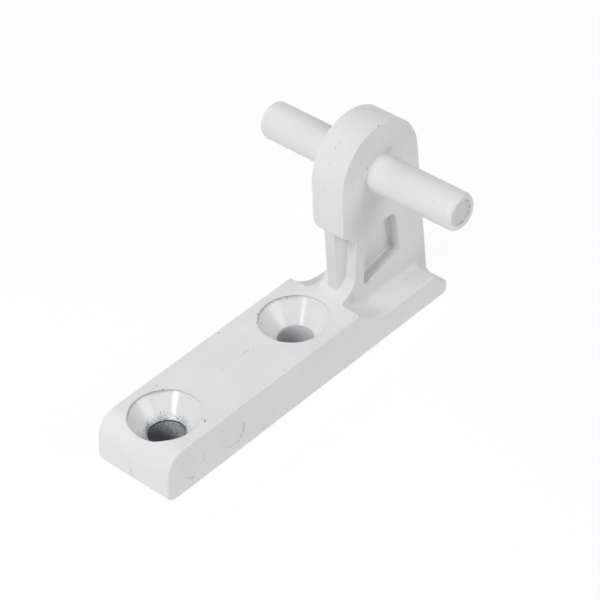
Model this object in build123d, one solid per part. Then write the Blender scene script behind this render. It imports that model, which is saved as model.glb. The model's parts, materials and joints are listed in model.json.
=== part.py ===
from build123d import *
from math import acos, atan2, cos, radians, sin, sqrt, tan
import os

# Refrigerator door hinge: a zinc die-cast bracket with a steel pin cast through its ear.
# The bar is screwed to the cabinet's front edge, and a door turns on each free end of the pin.
#
# Frame: origin midway between the two screw holes, on the mounting face. +Z points away from
# that face, +Y runs along the bar towards the ear, and +X runs along the pin.
# The die opened along X, so the ear's notches and pockets are cored from both sides.
# All sizes are in millimetres.

# Mounting bar
BAR_WIDTH = 18.8
BAR_HEIGHT = 10.8
NEAR_END_TO_SCREW = 9.8
SCREW_SPACING = 36.0
SCREW_TO_FAR_END = 35.0
NEAR_END_DRAFT = 4.0
NEAR_END_TOP_RADIUS = 5.0
NEAR_END_TOE_RADIUS = 2.2
BAR_EDGE_RADIUS = 0.6

# Countersunk screw holes
SCREW_HOLE_DIAMETER = 7.4
COUNTERSINK_DIAMETER = 14.5
COUNTERSINK_DEPTH = 4.8
COUNTERSINK_LAND = 0.4

# Low strips on both sides of the ear's foot, each with a scoop up to the bar's top
STRIP_HEIGHT = 6.3
SCOOP_RADIUS = 11.8
SCOOP_FOOT_TO_PIN = 4.5
EAR_FOOT_RADIUS = 1.6
FAR_NOSE_SLOPE = 45.0
FAR_NOSE_HEIGHT = 2.7
FAR_NOSE_RADIUS = 1.0
FAR_TOE_RADIUS = 1.5

# Pin
PIN_DIAMETER = 8.0
PIN_LENGTH = 49.5
PIN_END_RADIUS = 1.2
PIN_HEIGHT = 35.1
SCREW_TO_PIN = 22.5
GRIP_DIAMETER = 8.5

# Ear
EAR_THICKNESS = 8.0
HEAD_RADIUS = 11.2
HEAD_FRONT_DRAFT = 2.0
EAR_EDGE_RADIUS = 0.3
HEAD_LOWER_HEIGHT = 25.6
HEAD_LOWER_RADIUS = 0.4
NECK_TOP_HEIGHT = 23.0
NECK_TOP_SETBACK = 3.45
NECK_TOP_RADIUS = 0.8
NECK_FOOT_SETBACK = 1.9
NECK_FOOT_RADIUS = 4.0

# The neck's left edge, also under the head, is much rounder than its right one
LEFT_NECK_RADIUS = 1.7

# Thin web that closes the space between the head and the bar, thicker towards the neck
WEB_TO_PIN = 11.3
WEB_THICKNESS = 2.5
WEB_DRAFT = 12.0
WEB_EDGE_RADIUS = 0.3
WEB_FOOT_RADIUS = 0.8
WEB_ROOT_RADIUS = 0.3

# Cored pocket in each side of the ear
POCKET_WALL = 2.7
POCKET_FRONT_RIB = 2.9
POCKET_REAR_RIB_LOW = 7.3
POCKET_REAR_RIB_HIGH = 7.8
POCKET_LOW_FRONT = 10.7
POCKET_LOW_REAR = 13.0
POCKET_HIGH = 23.3
POCKET_TOP_RADIUS = 2.0
POCKET_LOW_RADIUS = 0.9
POCKET_FLOOR_RADIUS = 0.6

# Ejector pin marks on the bar's right side
EJECTOR_DIAMETER = 6.0
EJECTOR_DEPTH = 0.15
NEAR_END_TO_EJECTOR = 7.3
EJECTOR_SPACING = 10.9
EJECTOR_HEIGHT = 5.4

# Places worked out from the sizes above
NEAR_SCREW_Y = -SCREW_SPACING / 2
FAR_SCREW_Y = SCREW_SPACING / 2
NEAR_END_Y = NEAR_SCREW_Y - NEAR_END_TO_SCREW
FAR_END_Y = FAR_SCREW_Y + SCREW_TO_FAR_END
PIN_Y = FAR_SCREW_Y + SCREW_TO_PIN
WEB_FRONT_Y = PIN_Y - WEB_TO_PIN
SCOOP_FOOT_Y = PIN_Y - SCOOP_FOOT_TO_PIN

# Room that a cutting solid takes outside the casting, and that a buried end takes inside it
MARGIN = 2.0

# How far a point may be from a place and still count as lying on it, and how many degrees a
# face may be turned from a direction and still count as facing it
SAME_PLACE = 0.01
SAME_DIRECTION = 0.1


def side_outline(*corners):
    """A closed outline in the side view, from corners of (y, z, radius)."""
    points = [(y, z) for y, z, radius in corners]
    radii = [radius for y, z, radius in corners]
    return make_face(FilletPolyline(*points, radius=radii, close=True))


def across(outline, width):
    """The solid that a side outline makes, centred across the bar."""
    return extrude(Plane.YZ * outline, width / 2, both=True)


def edges_on_side(solid, x):
    """The edges of a solid that lie in the plane at one x."""
    return solid.edges().filter_by_position(Axis.X, x - SAME_PLACE, x + SAME_PLACE)


def rear_tangent():
    """Where the ear's drafted rear face meets the round head, as (y, z)."""
    drop = FAR_NOSE_HEIGHT - PIN_HEIGHT
    run = FAR_END_Y - PIN_Y
    turn = atan2(drop, run) + acos(HEAD_RADIUS / sqrt(drop**2 + run**2))
    return PIN_Y + HEAD_RADIUS * cos(turn), PIN_HEIGHT + HEAD_RADIUS * sin(turn)


def rear_y(height):
    """The ear's rear face at a height: a straight draft from the head to the bar's far end."""
    top_y, top_z = rear_tangent()
    return FAR_END_Y + (top_y - FAR_END_Y) * (height - FAR_NOSE_HEIGHT) / (top_z - FAR_NOSE_HEIGHT)


def front_tangent():
    """Where the head's drafted front face meets the round head, as (y, z)."""
    draft = radians(HEAD_FRONT_DRAFT)
    return PIN_Y - HEAD_RADIUS * cos(draft), PIN_HEIGHT + HEAD_RADIUS * sin(draft)


def head_front_y(height):
    """The head's front face at a height: it leans forward a little towards its lower edge."""
    top_y, top_z = front_tangent()
    return top_y - (top_z - height) * tan(radians(HEAD_FRONT_DRAFT))


def neck_y(height):
    """The neck's front face at a height: it leans back a little towards the head."""
    lean = (NECK_TOP_SETBACK - NECK_FOOT_SETBACK) / (NECK_TOP_HEIGHT - BAR_HEIGHT)
    return WEB_FRONT_Y + NECK_FOOT_SETBACK + lean * (height - BAR_HEIGHT)


def scoop_y(height):
    """Where the concave scoop stands at a height above the strip."""
    rise = height - STRIP_HEIGHT
    return SCOOP_FOOT_Y - sqrt(SCOOP_RADIUS**2 - (SCOOP_RADIUS - rise) ** 2)


def scoop_z(y):
    """The height of the concave scoop at a place before its foot."""
    return STRIP_HEIGHT + SCOOP_RADIUS - sqrt(SCOOP_RADIUS**2 - (SCOOP_FOOT_Y - y) ** 2)


def nose_y(height):
    """The sloped nose that ends each strip, at a height."""
    return FAR_END_Y - (height - FAR_NOSE_HEIGHT) / tan(radians(FAR_NOSE_SLOPE))


def make_bar():
    """The mounting bar at its full height, up to where the ear's rear edge begins to round."""
    core_end = rear_y(BAR_HEIGHT) - EAR_EDGE_RADIUS
    core_foot = FAR_NOSE_HEIGHT + (FAR_END_Y - core_end) * tan(radians(FAR_NOSE_SLOPE))
    near_top_y = NEAR_END_Y + BAR_HEIGHT * tan(radians(NEAR_END_DRAFT))
    outline = side_outline(
        (NEAR_END_Y, 0, NEAR_END_TOE_RADIUS),
        (near_top_y, BAR_HEIGHT, NEAR_END_TOP_RADIUS),
        (core_end, BAR_HEIGHT, 0),
        (core_end, core_foot, 0),
        (FAR_END_Y, FAR_NOSE_HEIGHT, 0),
        (FAR_END_Y, 0, FAR_TOE_RADIUS),
    )
    return across(outline, BAR_WIDTH)


def make_side_scoop():
    """What is cut away on the right of the ear: the scoop, the strip's top and its nose."""
    above = BAR_HEIGHT + MARGIN
    below = -MARGIN
    top_y = scoop_y(above)
    middle_y = (SCOOP_FOOT_Y + top_y) / 2
    arc = ThreePointArc(
        (top_y, above), (middle_y, scoop_z(middle_y)), (SCOOP_FOOT_Y, STRIP_HEIGHT)
    )
    rest = Polyline(
        (SCOOP_FOOT_Y, STRIP_HEIGHT),
        (nose_y(STRIP_HEIGHT), STRIP_HEIGHT),
        (nose_y(below), below),
        (nose_y(below), above),
        (top_y, above),
    )
    outline = make_face([arc] + rest.edges())
    nose = outline.vertices().sort_by_distance((nose_y(STRIP_HEIGHT), STRIP_HEIGHT))[0]
    outline = fillet(nose, FAR_NOSE_RADIUS)
    reach = (BAR_WIDTH - EAR_THICKNESS) / 2 + MARGIN
    scoop = Pos(EAR_THICKNESS / 2, 0, 0) * extrude(Plane.YZ * outline, reach)
    inner = edges_on_side(scoop, EAR_THICKNESS / 2)
    low = inner.filter_by_position(Axis.Z, below, above - SAME_PLACE)
    return fillet(low, EAR_FOOT_RADIUS)


def make_ear():
    """The ear at its full thickness: foot, neck, round head and drafted faces."""
    buried = scoop_y(BAR_HEIGHT) - MARGIN
    outline = side_outline(
        (buried, FAR_NOSE_HEIGHT, 0),
        (buried, BAR_HEIGHT, 0),
        (neck_y(BAR_HEIGHT), BAR_HEIGHT, NECK_FOOT_RADIUS),
        (neck_y(NECK_TOP_HEIGHT), NECK_TOP_HEIGHT, NECK_TOP_RADIUS),
        (head_front_y(HEAD_LOWER_HEIGHT), HEAD_LOWER_HEIGHT, 0),
        (*front_tangent(), 0),
        (*rear_tangent(), 0),
        (FAR_END_Y, FAR_NOSE_HEIGHT, 0),
    )
    head = Pos(PIN_Y, PIN_HEIGHT) * Circle(HEAD_RADIUS)
    ear = across(outline + head, EAR_THICKNESS)
    left_neck = edges_on_side(ear, -EAR_THICKNESS / 2)
    left_neck = left_neck.filter_by_position(
        Axis.Z, BAR_HEIGHT - SAME_PLACE, HEAD_LOWER_HEIGHT + SAME_PLACE
    )
    left_neck = left_neck.filter_by_position(
        Axis.Y, buried, neck_y(NECK_TOP_HEIGHT) + SAME_PLACE
    )
    ear = fillet(left_neck, LEFT_NECK_RADIUS)
    lower_lip = ear.edges().filter_by(Axis.X).filter_by_position(
        Axis.Z, HEAD_LOWER_HEIGHT - SAME_PLACE, HEAD_LOWER_HEIGHT + SAME_PLACE
    )
    ear = fillet(lower_lip, HEAD_LOWER_RADIUS)
    for side in (-1, 1):
        rim = edges_on_side(ear, side * EAR_THICKNESS / 2)
        rim = rim.filter_by_position(
            Axis.Z, FAR_NOSE_HEIGHT + SAME_PLACE, PIN_HEIGHT + HEAD_RADIUS
        )
        ear = fillet(rim, EAR_EDGE_RADIUS)
    return ear


def make_web():
    """The thin web from the bar up into the head: a wedge that thickens towards the neck."""
    buried = BAR_HEIGHT - MARGIN
    high = HEAD_LOWER_HEIGHT + MARGIN
    foot = WEB_FRONT_Y - WEB_FOOT_RADIUS - MARGIN
    outline = side_outline(
        (foot, buried, 0),
        (foot, BAR_HEIGHT, 0),
        (WEB_FRONT_Y, BAR_HEIGHT, WEB_FOOT_RADIUS),
        (WEB_FRONT_Y, high, 0),
        (PIN_Y, high, 0),
        (PIN_Y, buried, 0),
    )
    widening = tan(radians(WEB_DRAFT))
    front_half = WEB_THICKNESS / 2 - (WEB_FRONT_Y - foot) * widening
    rear_half = WEB_THICKNESS / 2 + (PIN_Y - WEB_FRONT_Y) * widening
    wedge = Polyline(
        (-front_half, foot),
        (front_half, foot),
        (rear_half, PIN_Y),
        (-rear_half, PIN_Y),
        close=True,
    )
    wedge = Pos(0, 0, buried) * extrude(make_face(wedge), high - buried)
    web = across(outline, EAR_THICKNESS) & wedge
    upright = web.edges().filter_by(Axis.Z).filter_by_position(
        Axis.Y, WEB_FRONT_Y - SAME_PLACE, WEB_FRONT_Y + SAME_PLACE
    )
    return fillet(upright, WEB_EDGE_RADIUS)


def web_root(bracket):
    """The short arc where the web's right side meets the top of the neck. A radius that starts
    there runs on along every edge that is tangent to it, round both sides of the web."""
    outward = Vector(cos(radians(WEB_DRAFT)), -sin(radians(WEB_DRAFT)), 0)
    walls = bracket.faces().filter_by(
        lambda face: face.normal_at().get_angle(outward) < SAME_DIRECTION
    )
    return walls[0].edges().sort_by(Axis.Y)[-1]


def make_pocket():
    """The pocket cored into the ear's right side, down to the wall between both pockets."""
    outline = side_outline(
        (neck_y(POCKET_LOW_FRONT) + POCKET_FRONT_RIB, POCKET_LOW_FRONT, POCKET_LOW_RADIUS),
        (rear_y(POCKET_LOW_REAR) - POCKET_REAR_RIB_LOW, POCKET_LOW_REAR, POCKET_LOW_RADIUS),
        (rear_y(POCKET_HIGH) - POCKET_REAR_RIB_HIGH, POCKET_HIGH, POCKET_TOP_RADIUS),
        (neck_y(POCKET_HIGH) + POCKET_FRONT_RIB, POCKET_HIGH, POCKET_TOP_RADIUS),
    )
    pocket = Pos(POCKET_WALL / 2, 0, 0) * extrude(Plane.YZ * outline, EAR_THICKNESS)
    return fillet(edges_on_side(pocket, POCKET_WALL / 2), POCKET_FLOOR_RADIUS)


def make_screw_hole(y):
    """A through hole with its countersink and short land, as the solid that is cut away."""
    bore_radius = SCREW_HOLE_DIAMETER / 2
    mouth_radius = COUNTERSINK_DIAMETER / 2
    outline = Polyline(
        (0, -MARGIN),
        (bore_radius, -MARGIN),
        (bore_radius, BAR_HEIGHT - COUNTERSINK_DEPTH),
        (mouth_radius, BAR_HEIGHT - COUNTERSINK_LAND),
        (mouth_radius, BAR_HEIGHT + MARGIN),
        (0, BAR_HEIGHT + MARGIN),
        close=True,
    )
    return Pos(0, y, 0) * revolve(Plane.XZ * make_face(outline), Axis.Z)


def make_ejector_mark(number):
    """A shallow round that an ejector pin left in the bar's right side."""
    y = NEAR_END_Y + NEAR_END_TO_EJECTOR + number * EJECTOR_SPACING
    mark = Cylinder(EJECTOR_DIAMETER / 2, 2 * EJECTOR_DEPTH, rotation=(0, 90, 0))
    return Pos(BAR_WIDTH / 2, y, EJECTOR_HEIGHT) * mark


def make_pin():
    """The pin, with a raised grip band in the middle, as long as the ear is thick."""
    half = PIN_LENGTH / 2
    grip = EAR_THICKNESS / 2
    radius = PIN_DIAMETER / 2
    grip_radius = GRIP_DIAMETER / 2
    outline = Polyline(
        (-half, 0),
        (-half, radius),
        (-grip, radius),
        (-grip, grip_radius),
        (grip, grip_radius),
        (grip, radius),
        (half, radius),
        (half, 0),
        close=True,
    )
    profile = make_face(outline)
    corners = profile.vertices().filter_by_position(Axis.Y, radius - SAME_PLACE, radius + SAME_PLACE)
    ends = corners.sort_by(Axis.X)
    profile = fillet([ends[0], ends[-1]], PIN_END_RADIUS)
    return Pos(0, PIN_Y, PIN_HEIGHT) * revolve(Plane.XZ * profile, Axis.X)


def make_bracket(pin):
    """The whole casting, cast round the pin."""
    scoop = make_side_scoop()
    pocket = make_pocket()
    bar = make_bar() - scoop - mirror(scoop, Plane.YZ)
    for side in (-1, 1):
        rim = edges_on_side(bar, side * BAR_WIDTH / 2)
        rim = rim.filter_by_position(Axis.Z, SAME_PLACE, BAR_HEIGHT)
        bar = fillet(rim, BAR_EDGE_RADIUS)
    bracket = bar + make_ear() + make_web()
    bracket = fillet(web_root(bracket), WEB_ROOT_RADIUS)
    bracket = bracket - pocket - mirror(pocket, Plane.YZ)
    for y in (NEAR_SCREW_Y, FAR_SCREW_Y):
        bracket = bracket - make_screw_hole(y)
    for number in range(2):
        bracket = bracket - make_ejector_mark(number)
    return bracket - pin


os.makedirs("parts", exist_ok=True)
pin = make_pin()
bracket = make_bracket(pin)
export_step(bracket, "parts/hinge_bracket.step")
export_step(pin, "parts/hinge_pin.step")
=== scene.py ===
import json
import math

import bmesh
import bpy
from mathutils import Matrix, Vector


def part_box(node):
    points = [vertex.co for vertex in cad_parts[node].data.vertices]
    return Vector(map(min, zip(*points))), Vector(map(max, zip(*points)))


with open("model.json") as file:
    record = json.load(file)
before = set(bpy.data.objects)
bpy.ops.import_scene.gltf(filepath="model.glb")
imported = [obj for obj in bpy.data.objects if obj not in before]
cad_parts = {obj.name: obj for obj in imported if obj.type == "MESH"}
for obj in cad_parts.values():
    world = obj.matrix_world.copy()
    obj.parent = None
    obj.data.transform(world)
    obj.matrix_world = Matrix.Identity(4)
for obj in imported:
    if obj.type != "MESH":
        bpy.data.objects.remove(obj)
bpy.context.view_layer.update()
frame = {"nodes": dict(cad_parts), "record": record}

MM = 0.001

# Sizes of the hinge that its finishes follow, in millimetres. The frame gives those of the screw holes and
# the pin. X runs along the pin, Y along the bar towards the ear, and Z up from the mounting face
mounts = {mount["name"]: mount for mount in frame["record"]["mounts"]}
screw_holes = mounts["screw_holes"]["dims"]
SCREW_Y = (-screw_holes["spacing_y_mm"] / 2, screw_holes["spacing_y_mm"] / 2)
BORE_RADIUS = screw_holes["hole_r_mm"]
MOUTH_HEIGHT = 6.0
CONE_RADIUS = 7.25
BAR_HEIGHT = 10.8
PARTING_X = -0.45
PIN_Y, PIN_HEIGHT = [place / MM for place in mounts["pin_right"]["pos_m"][1:]]
PIN_HALF_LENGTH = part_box("hinge_pin")[1][0] / MM

# Camera: the photograph's frame, and where the camera stands and looks, in degrees and millimetres
PICTURE_WIDTH_PX = 600
FOCAL_LENGTH_PX = 2766.1
SENSOR_WIDTH_MM = 36.0
CAMERA_AZIMUTH = 45.28
CAMERA_ELEVATION = 39.64
CAMERA_ROLL = -4.19
CAMERA_DISTANCE = 530.3
CAMERA_TARGET = (5.32, 14.77, 20.39)
CLIP_NEAR = 10.0
CLIP_FAR = 100000.0


def linear(hex_colour):
    """An sRGB hex colour as linear red, green, blue and alpha."""
    rgb = []
    for start in (1, 3, 5):
        part = int(hex_colour[start:start + 2], 16) / 255
        rgb.append(part / 12.92 if part <= 0.04045 else ((part + 0.055) / 1.055) ** 2.4)
    return (*rgb, 1.0)


def add_node(tree, kind, settings=None, inputs=None, output=0):
    """Adds a node with its settings, puts values or links in its inputs, and gives one of its outputs."""
    node = tree.nodes.new(kind)
    for name, value in (settings or {}).items():
        setattr(node, name, value)
    for name, value in (inputs or {}).items():
        socket = node.inputs[name]
        if isinstance(value, bpy.types.NodeSocket):
            tree.links.new(value, socket)
        else:
            socket.default_value = value
    return node.outputs[output] if node.outputs else node


def new_material(name):
    """An empty node material and its tree."""
    material = bpy.data.materials.new(name)
    material.use_nodes = True
    material.node_tree.nodes.clear()
    return material, material.node_tree


# How many finer layers the noises have
NOISE_DETAIL = 3.0
PEEL_DETAIL = 2.0

# Polyester powder coat: nearly white and satin, a shade greyer in wide clouds where it is thinner, with a
# very faint orange peel. On the machined countersinks it flowed out smooth, so it is glossier there. The
# clouds are where a noise rises from its first level to its second
COAT = "#E4E4E4"
COAT_THIN = "#DFDFE0"
COAT_ROUGHNESS = 0.3
COAT_IOR = 1.4
CONE_ROUGHNESS = 0.17
CLOUD_MM = 11.0
CLOUD_LEVELS = (0.35, 0.7)
PEEL_MM = 0.9
PEEL_DEPTH_MM = 0.004


def powder_coat(tree, place):
    """The coat's colour and its orange peel, which the casting and the pin share."""
    clouds = add_node(
        tree, "ShaderNodeTexNoise", {},
        {"Vector": place, "Scale": 1 / (CLOUD_MM * MM), "Detail": NOISE_DETAIL}, "Fac",
    )
    thin = add_node(
        tree, "ShaderNodeMapRange", {},
        {"Value": clouds, "From Min": CLOUD_LEVELS[0], "From Max": CLOUD_LEVELS[1]},
    )
    colour = add_node(
        tree, "ShaderNodeMix", {"data_type": "RGBA"},
        {"Factor": thin, "A": linear(COAT), "B": linear(COAT_THIN)}, "Result",
    )
    peel = add_node(
        tree, "ShaderNodeTexNoise", {},
        {"Vector": place, "Scale": 1 / (PEEL_MM * MM), "Detail": PEEL_DETAIL}, "Fac",
    )
    normal = add_node(
        tree, "ShaderNodeBump", {}, {"Strength": 1.0, "Distance": PEEL_DEPTH_MM * MM, "Height": peel}
    )
    return colour, normal


# How far beyond its edge a bore's or a countersink's finish reaches, in millimetres
BORDER_MM = 0.05


def away_from(tree, place, x, y):
    """How far each point is from an upright axis, in metres."""
    flat = add_node(tree, "ShaderNodeVectorMath", {"operation": "MULTIPLY"}, {0: place, 1: (1.0, 1.0, 0.0)})
    axis = {0: flat, 1: Vector((x, y, 0)) * MM}
    return add_node(tree, "ShaderNodeVectorMath", {"operation": "DISTANCE"}, axis, "Value")


def away_from_holes(tree, place):
    """How far each point is from the nearer screw hole's axis, in metres."""
    near, far = [away_from(tree, place, 0.0, y) for y in SCREW_Y]
    return add_node(tree, "ShaderNodeMath", {"operation": "MINIMUM"}, {0: near, 1: far})


def in_bore(tree, place, y):
    """One on a screw hole's bore and nought on the countersink above it."""
    reach = (BORE_RADIUS + BORDER_MM) * MM
    away = away_from(tree, place, 0.0, y)
    return add_node(tree, "ShaderNodeMath", {"operation": "LESS_THAN"}, {0: away, 1: reach})


def in_countersinks(tree, place):
    """One inside both countersinks and nought elsewhere."""
    return add_node(
        tree, "ShaderNodeMapRange", {},
        {"Value": away_from_holes(tree, place),
         "From Min": (CONE_RADIUS + BORDER_MM) * MM, "From Max": (CONE_RADIUS - BORDER_MM) * MM},
    )


def soft_line(tree, measure, middle, line):
    """How much a line shows: most where a measure is at a middle value, and fading out to both sides."""
    off = add_node(tree, "ShaderNodeMath", {"operation": "SUBTRACT"}, {0: measure, 1: middle * MM})
    off = add_node(tree, "ShaderNodeMath", {"operation": "ABSOLUTE"}, {0: off})
    return add_node(
        tree, "ShaderNodeMapRange", {"interpolation_type": "SMOOTHSTEP"},
        {"Value": off, "From Min": line["faded"] * MM, "From Max": line["solid"] * MM,
         "To Max": line["shows"]},
    )


def broken_up(tree, shows, noise, levels, least=0.0):
    """How much shows once a noise has broken it up: the least at its lower level, all at its upper one."""
    kept = add_node(
        tree, "ShaderNodeMapRange", {},
        {"Value": noise, "From Min": levels[0], "From Max": levels[1], "To Min": least},
    )
    return add_node(tree, "ShaderNodeMath", {"operation": "MULTIPLY"}, {0: shows, 1: kept})


# Painted shade: each bore is drawn darkest low at its front left, where least light reaches it. A point's
# X, Y and Z from the foot of the bore's axis are weighed and added up, and the painted shade thins out from
# the first sum to the second, in millimetres
BORE_LIGHT_WEIGHTS = (0.6, 0.6, 1.0)
BORE_LIGHT_FROM = 0.6
BORE_LIGHT_TO = 6.4


def bore_painted_light(tree, place, y):
    """How lit a bore is painted: from nought low at its front left to one at its mouth and rear right."""
    total = add_node(
        tree, "ShaderNodeVectorMath", {"operation": "DOT_PRODUCT"}, {0: place, 1: BORE_LIGHT_WEIGHTS}, "Value"
    )
    foot_shade = BORE_LIGHT_WEIGHTS[1] * y
    return add_node(
        tree, "ShaderNodeMapRange", {"interpolation_type": "SMOOTHSTEP"},
        {"Value": total, "From Min": (foot_shade + BORE_LIGHT_FROM) * MM, "From Max": (foot_shade + BORE_LIGHT_TO) * MM},
    )


# Bare zinc: dull, grainy grey, with painted shade that darkens it low at the bore's front left, and a dark
# line just below the bore's mouth. The near screw's bore was kept free of coat
ZINC_GRAIN_AND_SHADE = "#3C3F44"
ZINC = "#D2D7DE"
ZINC_METALLIC = 0.35
BARE_ROUGHNESS = 0.5
GRAIN_LEVELS = (0.35, 0.65)
GRAIN_DARKEST = 0.35
MOUTH_LINE = {"solid": 0.05, "faded": 0.3, "shows": 1.0}
MOUTH_LINE_HEIGHT = MOUTH_HEIGHT - 0.1

# Chips in the coat up the near countersink, in millimetres: narrow, drawn out up its slope, and fewer
# further up. They thin out round a point a little off the bore's axis
CHIP_WIDTH_MM = 0.14
CHIP_LENGTH_MM = 0.4
CHIPS_OFF_AXIS = (-0.25, 0.25)
CHIPS_RADII = (BORE_RADIUS - 0.2, BORE_RADIUS + 1.3)

# A chip is where the noise is over a level, which rises from the inner radius to the outer one. It shows
# most where the noise is over that level by the chip's edge or more
CHIPS_LEVELS = (0.3, 0.72)
CHIP_EDGE = 0.07
CHIP_SHOWS = 0.9

# The far screw's bore: the coat thins to a grey film between these depths below its mouth, in millimetres.
# The film is painted darker as shade low at the bore's front left
FILM_SHADED = "#9DA0A4"
FILM = "#E0E2E5"
FILM_DEPTHS = (0.3, 0.75)


def chip_noise(tree, place):
    """Noise drawn out up the near countersink's slope, as the chips round its bore's mouth are."""
    axis = Vector((0, SCREW_Y[0], 0)) * MM
    offset = add_node(tree, "ShaderNodeVectorMath", {"operation": "SUBTRACT"}, {0: place, 1: axis})
    flat = add_node(
        tree, "ShaderNodeVectorMath", {"operation": "MULTIPLY"}, {0: offset, 1: (1.0, 1.0, 0.0)}
    )
    circle = add_node(tree, "ShaderNodeVectorMath", {"operation": "NORMALIZE"}, {0: flat})
    around = add_node(
        tree, "ShaderNodeVectorMath", {"operation": "SCALE"},
        {0: circle, "Scale": BORE_RADIUS / CHIP_WIDTH_MM},
    )
    upwards = add_node(
        tree, "ShaderNodeVectorMath", {"operation": "MULTIPLY"},
        {0: place, 1: (0.0, 0.0, 1 / (CHIP_LENGTH_MM * MM))},
    )
    both = add_node(tree, "ShaderNodeVectorMath", {"operation": "ADD"}, {0: around, 1: upwards})
    return add_node(
        tree, "ShaderNodeTexNoise", {}, {"Vector": both, "Scale": 1.0, "Detail": NOISE_DETAIL}, "Fac"
    )


def bare_near_bore(tree, place):
    """Where the near hole shows bare metal: all of its bore, and chips that thin out up the countersink."""
    away = away_from(tree, place, CHIPS_OFF_AXIS[0], SCREW_Y[0] + CHIPS_OFF_AXIS[1])
    level = add_node(
        tree, "ShaderNodeMapRange", {},
        {"Value": away, "From Min": CHIPS_RADII[0] * MM, "From Max": CHIPS_RADII[1] * MM,
         "To Min": CHIPS_LEVELS[0], "To Max": CHIPS_LEVELS[1]},
    )
    noise = chip_noise(tree, place)
    over = add_node(tree, "ShaderNodeMath", {"operation": "SUBTRACT"}, {0: noise, 1: level})
    chipped = add_node(
        tree, "ShaderNodeMapRange", {"interpolation_type": "SMOOTHSTEP"},
        {"Value": over, "From Min": 0.0, "From Max": CHIP_EDGE, "To Max": CHIP_SHOWS},
    )
    bore = in_bore(tree, place, SCREW_Y[0])
    return add_node(tree, "ShaderNodeMath", {"operation": "MAXIMUM"}, {0: chipped, 1: bore})


def zinc(tree, place, ragged):
    """The bare metal's colour, with its grain, its painted shade and the dark line at the bore's mouth."""
    lighter_share = broken_up(tree, bore_painted_light(tree, place, SCREW_Y[0]), ragged, GRAIN_LEVELS, GRAIN_DARKEST)
    height = add_node(tree, "ShaderNodeSeparateXYZ", {}, {0: place}, "Z")
    line = soft_line(tree, height, MOUTH_LINE_HEIGHT, MOUTH_LINE)
    off_line = add_node(tree, "ShaderNodeMath", {"operation": "SUBTRACT"}, {0: 1.0, 1: line})
    lighter_share = add_node(tree, "ShaderNodeMath", {"operation": "MULTIPLY"}, {0: lighter_share, 1: off_line})
    return add_node(
        tree, "ShaderNodeMix", {"data_type": "RGBA"},
        {"Factor": lighter_share, "A": linear(ZINC_GRAIN_AND_SHADE), "B": linear(ZINC)}, "Result",
    )


def film_in_far_bore(tree, place):
    """Where the far hole's coat thins to a grey film, and the film's colour with its painted shade."""
    height = add_node(tree, "ShaderNodeSeparateXYZ", {}, {0: place}, "Z")
    thinned = add_node(
        tree, "ShaderNodeMapRange", {"interpolation_type": "SMOOTHSTEP"},
        {"Value": height, "From Min": (MOUTH_HEIGHT - FILM_DEPTHS[0]) * MM,
         "From Max": (MOUTH_HEIGHT - FILM_DEPTHS[1]) * MM},
    )
    bore = in_bore(tree, place, SCREW_Y[1])
    film = add_node(tree, "ShaderNodeMath", {"operation": "MULTIPLY"}, {0: thinned, 1: bore})
    lighter_share = bore_painted_light(tree, place, SCREW_Y[1])
    colour = add_node(
        tree, "ShaderNodeMix", {"data_type": "RGBA"},
        {"Factor": lighter_share, "A": linear(FILM_SHADED), "B": linear(FILM)}, "Result",
    )
    return film, colour


# Grime and painted shade: dark grey in fine lines and in blots. Each line has the half widths at which it
# is solid and at which it has faded out, in millimetres, and how much of the dark grey shows. Its levels
# are those of the noise that breaks it up
GRIME_AND_SHADE = "#4A4B4E"

# Painted shade in the crease under each countersink's rim. The line comes in from the first X to the
# second, and from the first depth below the bar's top to the second
RIM_SHADE_LINE = {"solid": 0.05, "faded": 0.35, "shows": 0.42}
RIM_SHADE_LEVELS = (0.3, 0.6)
RIM_SHADE_LEAST = 0.15
RIM_SHADE_X = (-2.0, -6.2)
RIM_SHADE_DEPTHS = (0.02, 0.1)

# The parting line, where the die's two halves met: clearest on a stretch of the bar's top between the
# screws, given by its middle and by the half lengths at which the line has faded and is clear
PARTING_LINE = {"solid": 0.05, "faded": 0.2, "shows": 0.2}
PARTING_LEVELS = (0.45, 0.65)
PARTING_BREAK_MM = 1.3
CLEAR_MIDDLE = 2.4
CLEAR_HALVES = (5.4, 4.6)
PARTING_ELSEWHERE = 0.25

# A broken dark line along the bar's lower edge, where it lies on the paper: painted contact shade, with
# dust
FOOT_SHADE_AND_DUST = {"solid": 0.1, "faded": 0.45, "shows": 0.3}
FOOT_SHADE_LEVELS = (0.45, 0.65)


def rim_crease_shade(tree, place, ragged):
    """The painted shade line in the crease under each countersink's rim, on its left side."""
    line = soft_line(tree, away_from_holes(tree, place), CONE_RADIUS, RIM_SHADE_LINE)
    across = add_node(tree, "ShaderNodeSeparateXYZ", {}, {0: place}, "X")
    on_left = add_node(
        tree, "ShaderNodeMapRange", {"interpolation_type": "SMOOTHSTEP"},
        {"Value": across, "From Min": RIM_SHADE_X[0] * MM, "From Max": RIM_SHADE_X[1] * MM},
    )
    height = add_node(tree, "ShaderNodeSeparateXYZ", {}, {0: place}, "Z")
    below_top = add_node(
        tree, "ShaderNodeMapRange", {},
        {"Value": height, "From Min": (BAR_HEIGHT - RIM_SHADE_DEPTHS[0]) * MM,
         "From Max": (BAR_HEIGHT - RIM_SHADE_DEPTHS[1]) * MM},
    )
    for share in (on_left, below_top):
        line = add_node(tree, "ShaderNodeMath", {"operation": "MULTIPLY"}, {0: line, 1: share})
    return broken_up(tree, line, ragged, RIM_SHADE_LEVELS, RIM_SHADE_LEAST)


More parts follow.
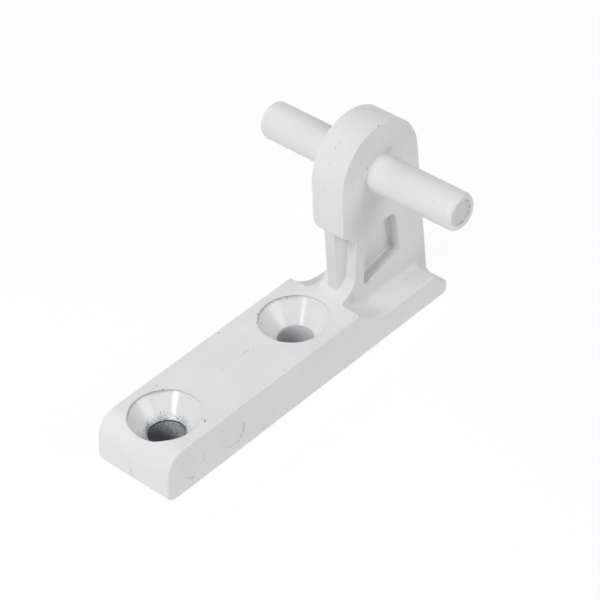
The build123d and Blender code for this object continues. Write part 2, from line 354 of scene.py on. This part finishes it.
def parting_line(tree, place):
    """The fine broken line where the die's two halves met, which the countersinks' machining took off."""
    across = add_node(tree, "ShaderNodeSeparateXYZ", {}, {0: place}, "X")
    line = soft_line(tree, across, PARTING_X, PARTING_LINE)
    gaps = add_node(
        tree, "ShaderNodeTexNoise", {},
        {"Vector": place, "Scale": 1 / (PARTING_BREAK_MM * MM), "Detail": NOISE_DETAIL}, "Fac",
    )
    line = broken_up(tree, line, gaps, PARTING_LEVELS)
    along = add_node(tree, "ShaderNodeSeparateXYZ", {}, {0: place}, "Y")
    off = add_node(tree, "ShaderNodeMath", {"operation": "SUBTRACT"}, {0: along, 1: CLEAR_MIDDLE * MM})
    off = add_node(tree, "ShaderNodeMath", {"operation": "ABSOLUTE"}, {0: off})
    clear = add_node(
        tree, "ShaderNodeMapRange", {},
        {"Value": off, "From Min": CLEAR_HALVES[0] * MM, "From Max": CLEAR_HALVES[1] * MM,
         "To Min": PARTING_ELSEWHERE},
    )
    machined = in_countersinks(tree, place)
    left = add_node(tree, "ShaderNodeMath", {"operation": "SUBTRACT"}, {0: 1.0, 1: machined})
    for share in (clear, left):
        line = add_node(tree, "ShaderNodeMath", {"operation": "MULTIPLY"}, {0: line, 1: share})
    return line


def foot_shade_and_dust(tree, place, ragged):
    """The broken dark line along the bar's lower edge: painted contact shade, with dust."""
    height = add_node(tree, "ShaderNodeSeparateXYZ", {}, {0: place}, "Z")
    line = soft_line(tree, height, 0.0, FOOT_SHADE_AND_DUST)
    return broken_up(tree, line, ragged, FOOT_SHADE_LEVELS)


# Blots where the coat is chipped, pitted or holds grime, and blots of painted shade where noted: a middle
# and half widths along X, Y and Z, in millimetres, and how much of the dark grey shows
MARKS_AND_SHADE_BLOTS = (
    # Near countersink's rim
    {"at": (-5.2, -13.2, 10.6), "half": (0.22, 0.22, 0.4), "shows": 0.9},
    {"at": (6.65, -14.05, 10.6), "half": (0.12, 0.12, 0.3), "shows": 0.6},
    {"at": (6.95, -14.3, 10.6), "half": (0.17, 0.17, 0.4), "shows": 0.95},
    {"at": (7.25, -14.55, 10.6), "half": (0.2, 0.2, 0.4), "shows": 0.8},
    {"at": (-7.1, -13.1, 10.8), "half": (0.2, 0.45, 0.2), "shows": 0.3},
    {"at": (-6.6, -16.6, 10.6), "half": (0.2, 0.3, 0.4), "shows": 0.5},
    # Bar's top, at its left edge and along its middle
    {"at": (-8.5, 5.6, 10.7), "half": (0.3, 0.3, 0.3), "shows": 0.35},
    {"at": (-8.8, 10.8, 10.7), "half": (0.2, 0.2, 0.3), "shows": 0.4},
    {"at": (0.4, 5.9, 10.8), "half": (0.15, 0.3, 0.2), "shows": 0.16},
    {"at": (-0.4, -1.9, 10.8), "half": (0.15, 0.3, 0.2), "shows": 0.2},
    {"at": (-0.5, 3.2, 10.8), "half": (0.15, 0.25, 0.2), "shows": 0.16},
    {"at": (-0.6, 5.6, 10.8), "half": (0.12, 0.35, 0.2), "shows": 0.2},
    # Far countersink's rim
    {"at": (-6.9, 18.6, 10.5), "half": (0.25, 0.3, 0.4), "shows": 0.95},
    {"at": (-5.6, 22.2, 10.5), "half": (0.25, 0.25, 0.4), "shows": 0.8},
    {"at": (-6.45, 14.6, 10.7), "half": (0.2, 0.25, 0.4), "shows": 0.7},
    {"at": (-4.75, 12.5, 10.7), "half": (0.2, 0.2, 0.4), "shows": 0.8},
    {"at": (-5.0, 14.1, 9.6), "half": (0.2, 0.25, 0.4), "shows": 0.5},
    {"at": (-3.4, 11.65, 10.75), "half": (0.3, 0.2, 0.4), "shows": 0.5},
    # Ear's front, along the parting line
    {"at": (-0.45, 32.9, 43.4), "half": (0.18, 0.4, 0.3), "shows": 0.3},
    {"at": (-0.2, 33.9, 44.1), "half": (0.3, 0.6, 0.5), "shows": 0.09},
    {"at": (-0.2, 30.9, 40.9), "half": (0.3, 0.6, 0.8), "shows": 0.1},
    {"at": (-0.4, 29.3, 35.5), "half": (0.12, 0.4, 0.7), "shows": 0.13},
    # Ear's right face, round the pin
    {"at": (3.9, 40.6, 46.25), "half": (0.13, 0.25, 0.2), "shows": 0.5},
    {"at": (4.0, 43.2, 39.1), "half": (0.3, 0.8, 0.5), "shows": 0.2},
    {"at": (4.0, 36.9, 38.3), "half": (0.3, 0.15, 0.3), "shows": 0.5},
    # Painted shade in the corner at the pin's front root
    {"at": (4.0, 36.3, 35.3), "half": (0.3, 0.2, 0.5), "shows": 0.4},
    # Ear's neck and foot, and the pocket and strip beside them
    # Painted shadow under the head, on the web's top
    {"at": (2.7, 29.3, 24.9), "half": (0.9, 0.8, 0.5), "shows": 0.28},
    # Painted shade in the corner at the neck's foot
    {"at": (4.0, 30.4, 9.6), "half": (0.4, 1.1, 1.2), "shows": 0.1},
    {"at": (2.3, 42.8, 12.5), "half": (0.3, 0.25, 0.2), "shows": 0.14},
    {"at": (3.3, 39.5, 11.8), "half": (0.3, 0.2, 0.2), "shows": 0.12},
    {"at": (5.4, 45.0, 6.3), "half": (0.3, 0.25, 0.3), "shows": 0.16},
    # Painted shade in the crease along the ear's foot
    {"at": (4.6, 46.1, 6.6), "half": (0.12, 0.9, 0.3), "shows": 0.12},
    # Bar's right edge
    {"at": (9.4, -7.3, 10.3), "half": (0.3, 0.7, 0.2), "shows": 0.22},
    {"at": (8.9, 5.6, 10.8), "half": (0.3, 0.5, 0.3), "shows": 0.12},
    # Bar's right side, with the arc that an ejector left
    {"at": (9.3, -6.65, 5.6), "half": (0.3, 0.2, 0.8), "shows": 0.18},
    {"at": (9.3, -6.9, 4.4), "half": (0.3, 0.22, 0.7), "shows": 0.22},
    {"at": (9.3, -7.5, 3.3), "half": (0.3, 0.3, 0.5), "shows": 0.2},
    {"at": (9.3, -8.5, 2.5), "half": (0.3, 0.5, 0.22), "shows": 0.16},
    {"at": (9.4, -21.2, 2.2), "half": (0.3, 0.6, 0.3), "shows": 0.22},
    {"at": (9.4, -17.5, 4.3), "half": (0.3, 0.2, 0.4), "shows": 0.1},
    # Bar's front end, low on the parting line
    {"at": (-0.4, -27.4, 5.3), "half": (0.12, 0.4, 1.0), "shows": 0.09},
    {"at": (-0.4, -27.6, 3.2), "half": (0.2, 0.4, 0.25), "shows": 0.35},
    {"at": (0.1, -27.6, 2.1), "half": (1.2, 0.4, 0.2), "shows": 0.25},
)
PIN_BLOTS = (
    {"at": (20.3, 37.4, 37.6), "half": (0.15, 0.3, 0.3), "shows": 0.2},
)

# A blot's reach is the way from its middle, in half widths, plus a noise that makes its edge ragged. It is
# solid up to the first reach and has faded out by the second
BLOT_SOLID = 1.1
BLOT_FADED = 1.8
CASTING_RAGGED_MM = 0.4
PIN_RAGGED_MM = 0.5


def blots(tree, place, ragged, rows):
    """How much of the dark grey shows at each point, from all the blots, with ragged edges."""
    shows = 0.0
    for blot in rows:
        middle = Vector(blot["at"]) * MM
        half = Vector(blot["half"]) * MM
        offset = add_node(tree, "ShaderNodeVectorMath", {"operation": "SUBTRACT"}, {0: place, 1: middle})
        widths = add_node(tree, "ShaderNodeVectorMath", {"operation": "DIVIDE"}, {0: offset, 1: half})
        reach = add_node(tree, "ShaderNodeVectorMath", {"operation": "LENGTH"}, {0: widths}, "Value")
        reach = add_node(tree, "ShaderNodeMath", {"operation": "ADD"}, {0: reach, 1: ragged})
        one = add_node(
            tree, "ShaderNodeMapRange", {"interpolation_type": "SMOOTHSTEP"},
            {"Value": reach, "From Min": BLOT_FADED, "From Max": BLOT_SOLID, "To Max": blot["shows"]},
        )
        shows = add_node(tree, "ShaderNodeMath", {"operation": "MAXIMUM"}, {0: shows, 1: one})
    return shows


def coated_casting():
    """The casting's finish: coat, grime and painted shade over it, and the film and the bare metal of the
    screw holes.
    """
    material, tree = new_material("powder_coated_zinc")
    place = add_node(tree, "ShaderNodeTexCoord", output="Object")
    ragged = add_node(
        tree, "ShaderNodeTexNoise", {},
        {"Vector": place, "Scale": 1 / (CASTING_RAGGED_MM * MM), "Detail": NOISE_DETAIL}, "Fac",
    )
    colour, normal = powder_coat(tree, place)
    film, film_colour = film_in_far_bore(tree, place)
    bare = bare_near_bore(tree, place)

    grime_and_shade = blots(tree, place, ragged, MARKS_AND_SHADE_BLOTS)
    rim_shade = rim_crease_shade(tree, place, ragged)
    foot_shade = foot_shade_and_dust(tree, place, ragged)
    for line in (parting_line(tree, place), rim_shade, foot_shade):
        grime_and_shade = add_node(tree, "ShaderNodeMath", {"operation": "MAXIMUM"}, {0: grime_and_shade, 1: line})
    for share, over in ((grime_and_shade, linear(GRIME_AND_SHADE)), (film, film_colour), (bare, zinc(tree, place, ragged))):
        colour = add_node(
            tree, "ShaderNodeMix", {"data_type": "RGBA"},
            {"Factor": share, "A": colour, "B": over}, "Result",
        )

    roughness = add_node(
        tree, "ShaderNodeMapRange", {},
        {"Value": in_countersinks(tree, place), "To Min": COAT_ROUGHNESS, "To Max": CONE_ROUGHNESS},
    )
    uncoated = add_node(tree, "ShaderNodeMath", {"operation": "MAXIMUM"}, {0: bare, 1: film})
    roughness = add_node(
        tree, "ShaderNodeMapRange", {},
        {"Value": uncoated, "To Min": roughness, "To Max": BARE_ROUGHNESS},
    )
    metallic = add_node(tree, "ShaderNodeMath", {"operation": "MULTIPLY"}, {0: bare, 1: ZINC_METALLIC})
    surface = add_node(
        tree, "ShaderNodeBsdfPrincipled", {},
        {"Base Color": colour, "Metallic": metallic, "Roughness": roughness, "IOR": COAT_IOR,
         "Normal": normal},
    )
    add_node(tree, "ShaderNodeOutputMaterial", {}, {"Surface": surface})
    return material


# The pin's turned ends hold less coat: greyer on the face, with a broken dark line along its lower rear.
# Both sit a little off the pin's axis. Sizes are in millimetres, and depths are from the pin's very end
END_COAT = "#DEDEDF"
END_COAT_THIN = "#C4C4C6"
END_MIDDLE = (PIN_Y - 0.5, PIN_HEIGHT + 0.6)
END_DEPTHS = (0.2, 0.05)
END_FACE_RADII = (3.2, 2.7)
END_LINE = {"solid": 0.14, "faded": 0.28, "shows": 0.5}
END_LINE_LEVELS = (0.4, 0.6)
END_LINE_RADIUS = 2.45
END_LINE_WAY = (0.0, 0.8, -0.6)
END_LINE_FADE = 0.4


def on_pin_ends(tree, place):
    """One on the pin's flat end faces and nought along it."""
    along = add_node(tree, "ShaderNodeSeparateXYZ", {}, {0: place}, "X")
    along = add_node(tree, "ShaderNodeMath", {"operation": "ABSOLUTE"}, {0: along})
    return add_node(
        tree, "ShaderNodeMapRange", {},
        {"Value": along, "From Min": (PIN_HALF_LENGTH - END_DEPTHS[0]) * MM,
         "From Max": (PIN_HALF_LENGTH - END_DEPTHS[1]) * MM},
    )


def pin_end(tree, place, ragged):
    """How much the thin coat shows on the pin's ends, and how much their broken line does."""
    at_end = on_pin_ends(tree, place)
    middle = Vector((0, *END_MIDDLE))
    section = add_node(
        tree, "ShaderNodeVectorMath", {"operation": "MULTIPLY"}, {0: place, 1: (0.0, 1.0, 1.0)}
    )
    away = add_node(
        tree, "ShaderNodeVectorMath", {"operation": "DISTANCE"}, {0: section, 1: middle * MM}, "Value"
    )
    face = add_node(
        tree, "ShaderNodeMapRange", {"interpolation_type": "SMOOTHSTEP"},
        {"Value": away, "From Min": END_FACE_RADII[0] * MM, "From Max": END_FACE_RADII[1] * MM},
    )
    face = add_node(tree, "ShaderNodeMath", {"operation": "MULTIPLY"}, {0: face, 1: at_end})

    line = soft_line(tree, away, END_LINE_RADIUS, END_LINE)
    towards = add_node(
        tree, "ShaderNodeVectorMath", {"operation": "DOT_PRODUCT"}, {0: section, 1: END_LINE_WAY}, "Value"
    )
    centre = Vector(END_LINE_WAY).dot(middle)
    lower_rear = add_node(
        tree, "ShaderNodeMapRange", {},
        {"Value": towards, "From Min": (centre - END_LINE_FADE) * MM,
         "From Max": (centre + END_LINE_FADE) * MM},
    )
    for share in (at_end, lower_rear):
        line = add_node(tree, "ShaderNodeMath", {"operation": "MULTIPLY"}, {0: line, 1: share})
    return face, broken_up(tree, line, ragged, END_LINE_LEVELS)


def coated_pin():
    """The steel pin's finish: the casting's coat, thinner and marked on the end faces."""
    material, tree = new_material("powder_coated_steel")
    place = add_node(tree, "ShaderNodeTexCoord", output="Object")
    ragged = add_node(
        tree, "ShaderNodeTexNoise", {},
        {"Vector": place, "Scale": 1 / (PIN_RAGGED_MM * MM), "Detail": NOISE_DETAIL}, "Fac",
    )
    colour, normal = powder_coat(tree, place)
    face, line = pin_end(tree, place, ragged)
    face_colour = add_node(
        tree, "ShaderNodeMix", {"data_type": "RGBA"},
        {"Factor": ragged, "A": linear(END_COAT), "B": linear(END_COAT_THIN)}, "Result",
    )
    specks = blots(tree, place, ragged, PIN_BLOTS)
    for share, over in ((face, face_colour), (line, linear(GRIME_AND_SHADE)), (specks, linear(GRIME_AND_SHADE))):
        colour = add_node(
            tree, "ShaderNodeMix", {"data_type": "RGBA"},
            {"Factor": share, "A": colour, "B": over}, "Result",
        )
    surface = add_node(
        tree, "ShaderNodeBsdfPrincipled", {},
        {"Base Color": colour, "Roughness": COAT_ROUGHNESS, "IOR": COAT_IOR, "Normal": normal},
    )
    add_node(tree, "ShaderNodeOutputMaterial", {}, {"Surface": surface})
    return material


def dress(node, material):
    """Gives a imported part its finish."""
    part = frame["nodes"][node]
    part.data.materials.clear()
    part.data.materials.append(material)


def seen_or_mirrored(tree):
    """One for rays from the camera, a mirror or glass, and nought for the light that fills the room."""
    shown = add_node(tree, "ShaderNodeLightPath", output="Is Camera Ray")
    rays = shown.node.outputs
    for kind in ("Is Glossy Ray", "Is Transmission Ray"):
        shown = add_node(tree, "ShaderNodeMath", {"operation": "MAXIMUM"}, {0: shown, 1: rays[kind]})
    return shown


# Floor: white paper a hair below the hinge, in millimetres. It glows only where it is seen or mirrored, so
# that it shows white and keeps a soft shadow
PAPER = "#FBFBFB"
WHITE = "#FFFFFF"
FLOOR_GLOW = 0.93
FLOOR_SIZE = 3000.0
FLOOR_GAP = 0.02


def make_floor():
    """The paper that the hinge lies on."""
    mesh = bpy.data.meshes.new("floor")
    bm = bmesh.new()
    bmesh.ops.create_grid(bm, x_segments=1, y_segments=1, size=FLOOR_SIZE / 2 * MM)
    bmesh.ops.translate(bm, verts=bm.verts, vec=(0, 0, -FLOOR_GAP * MM))
    bm.to_mesh(mesh)
    bm.free()
    floor = bpy.data.objects.new("floor", mesh)
    bpy.context.scene.collection.objects.link(floor)
    material, tree = new_material("white_paper")
    paper = add_node(tree, "ShaderNodeBsdfDiffuse", {}, {"Color": linear(PAPER)})
    glow = add_node(tree, "ShaderNodeEmission", {}, {"Color": linear(WHITE), "Strength": 1.0})
    shown = seen_or_mirrored(tree)
    share = add_node(tree, "ShaderNodeMath", {"operation": "MULTIPLY"}, {0: shown, 1: FLOOR_GLOW})
    both = add_node(tree, "ShaderNodeMixShader", {}, {0: share, 1: paper, 2: glow})
    add_node(tree, "ShaderNodeOutputMaterial", {}, {"Surface": both})
    floor.data.materials.append(material)


# The room's own light, and four round lamps. Each lamp has its azimuth and elevation from the point that
# they all light, in degrees, its distance and size in millimetres, and its power in watts
ROOM_LIGHT = 0.17
LIT_POINT = (0.0, 13.0, 20.0)
LAMPS = (
    {"name": "front_key", "azimuth": 8.0, "elevation": 28.0,
     "distance": 450.0, "size": 110.0, "power": 0.49},
    {"name": "front_high", "azimuth": 0.0, "elevation": 60.0,
     "distance": 700.0, "size": 250.0, "power": 2.08},
    {"name": "right_rear", "azimuth": 110.0, "elevation": 28.0,
     "distance": 750.0, "size": 430.0, "power": 1.78},
    {"name": "left_soft", "azimuth": -90.0, "elevation": 35.0,
     "distance": 700.0, "size": 400.0, "power": 1.12},
)


def direction(azimuth, elevation):
    """The way from the hinge towards an azimuth and elevation in degrees. Azimuth 0 is in front, at -Y."""
    a, e = math.radians(azimuth), math.radians(elevation)
    return Vector((math.sin(a) * math.cos(e), -math.cos(a) * math.cos(e), math.sin(e)))


def make_lights():
    """A white room that is dim as a light and full white where it is seen or mirrored, and the lamps."""
    world = bpy.data.worlds.new("studio")
    world.use_nodes = True
    tree = world.node_tree
    tree.nodes.clear()
    shown = seen_or_mirrored(tree)
    extra = add_node(tree, "ShaderNodeMath", {"operation": "MULTIPLY"}, {0: shown, 1: 1.0 - ROOM_LIGHT})
    strength = add_node(tree, "ShaderNodeMath", {"operation": "ADD"}, {0: extra, 1: ROOM_LIGHT})
    glow = add_node(tree, "ShaderNodeBackground", {}, {"Color": linear(WHITE), "Strength": strength})
    add_node(tree, "ShaderNodeOutputWorld", {}, {"Surface": glow})
    bpy.context.scene.world = world

    for lamp in LAMPS:
        data = bpy.data.lights.new(lamp["name"], "AREA")
        data.shape = "DISK"
        data.size = lamp["size"] * MM
        data.energy = lamp["power"]
        light = bpy.data.objects.new(lamp["name"], data)
        towards = direction(lamp["azimuth"], lamp["elevation"])
        light.location = (Vector(LIT_POINT) + towards * lamp["distance"]) * MM
        light.rotation_euler = (-towards).to_track_quat("-Z", "Y").to_euler()
        bpy.context.scene.collection.objects.link(light)


def make_camera():
    """The camera at the photograph's place, turned about its own axis by the photograph's roll."""
    data = bpy.data.cameras.new("camera")
    data.sensor_width = SENSOR_WIDTH_MM
    data.lens = FOCAL_LENGTH_PX / PICTURE_WIDTH_PX * SENSOR_WIDTH_MM
    data.clip_start = CLIP_NEAR * MM
    data.clip_end = CLIP_FAR * MM
    camera = bpy.data.objects.new("camera", data)
    back = direction(CAMERA_AZIMUTH, CAMERA_ELEVATION)
    right = (-back).cross(Vector((0, 0, 1))).normalized()
    up = right.cross(-back)
    turn = math.radians(CAMERA_ROLL)
    side = math.cos(turn) * right + math.sin(turn) * up
    top = math.cos(turn) * up - math.sin(turn) * right
    place = (Vector(CAMERA_TARGET) + back * CAMERA_DISTANCE) * MM
    camera.matrix_world = Matrix.Translation(place) @ Matrix((side, top, back)).transposed().to_4x4()
    bpy.context.scene.collection.objects.link(camera)
    bpy.context.scene.camera = camera


dress("hinge_bracket", coated_casting())
dress("hinge_pin", coated_pin())
make_floor()
make_lights()
make_camera()
bpy.context.scene.view_settings.view_transform = "Standard"
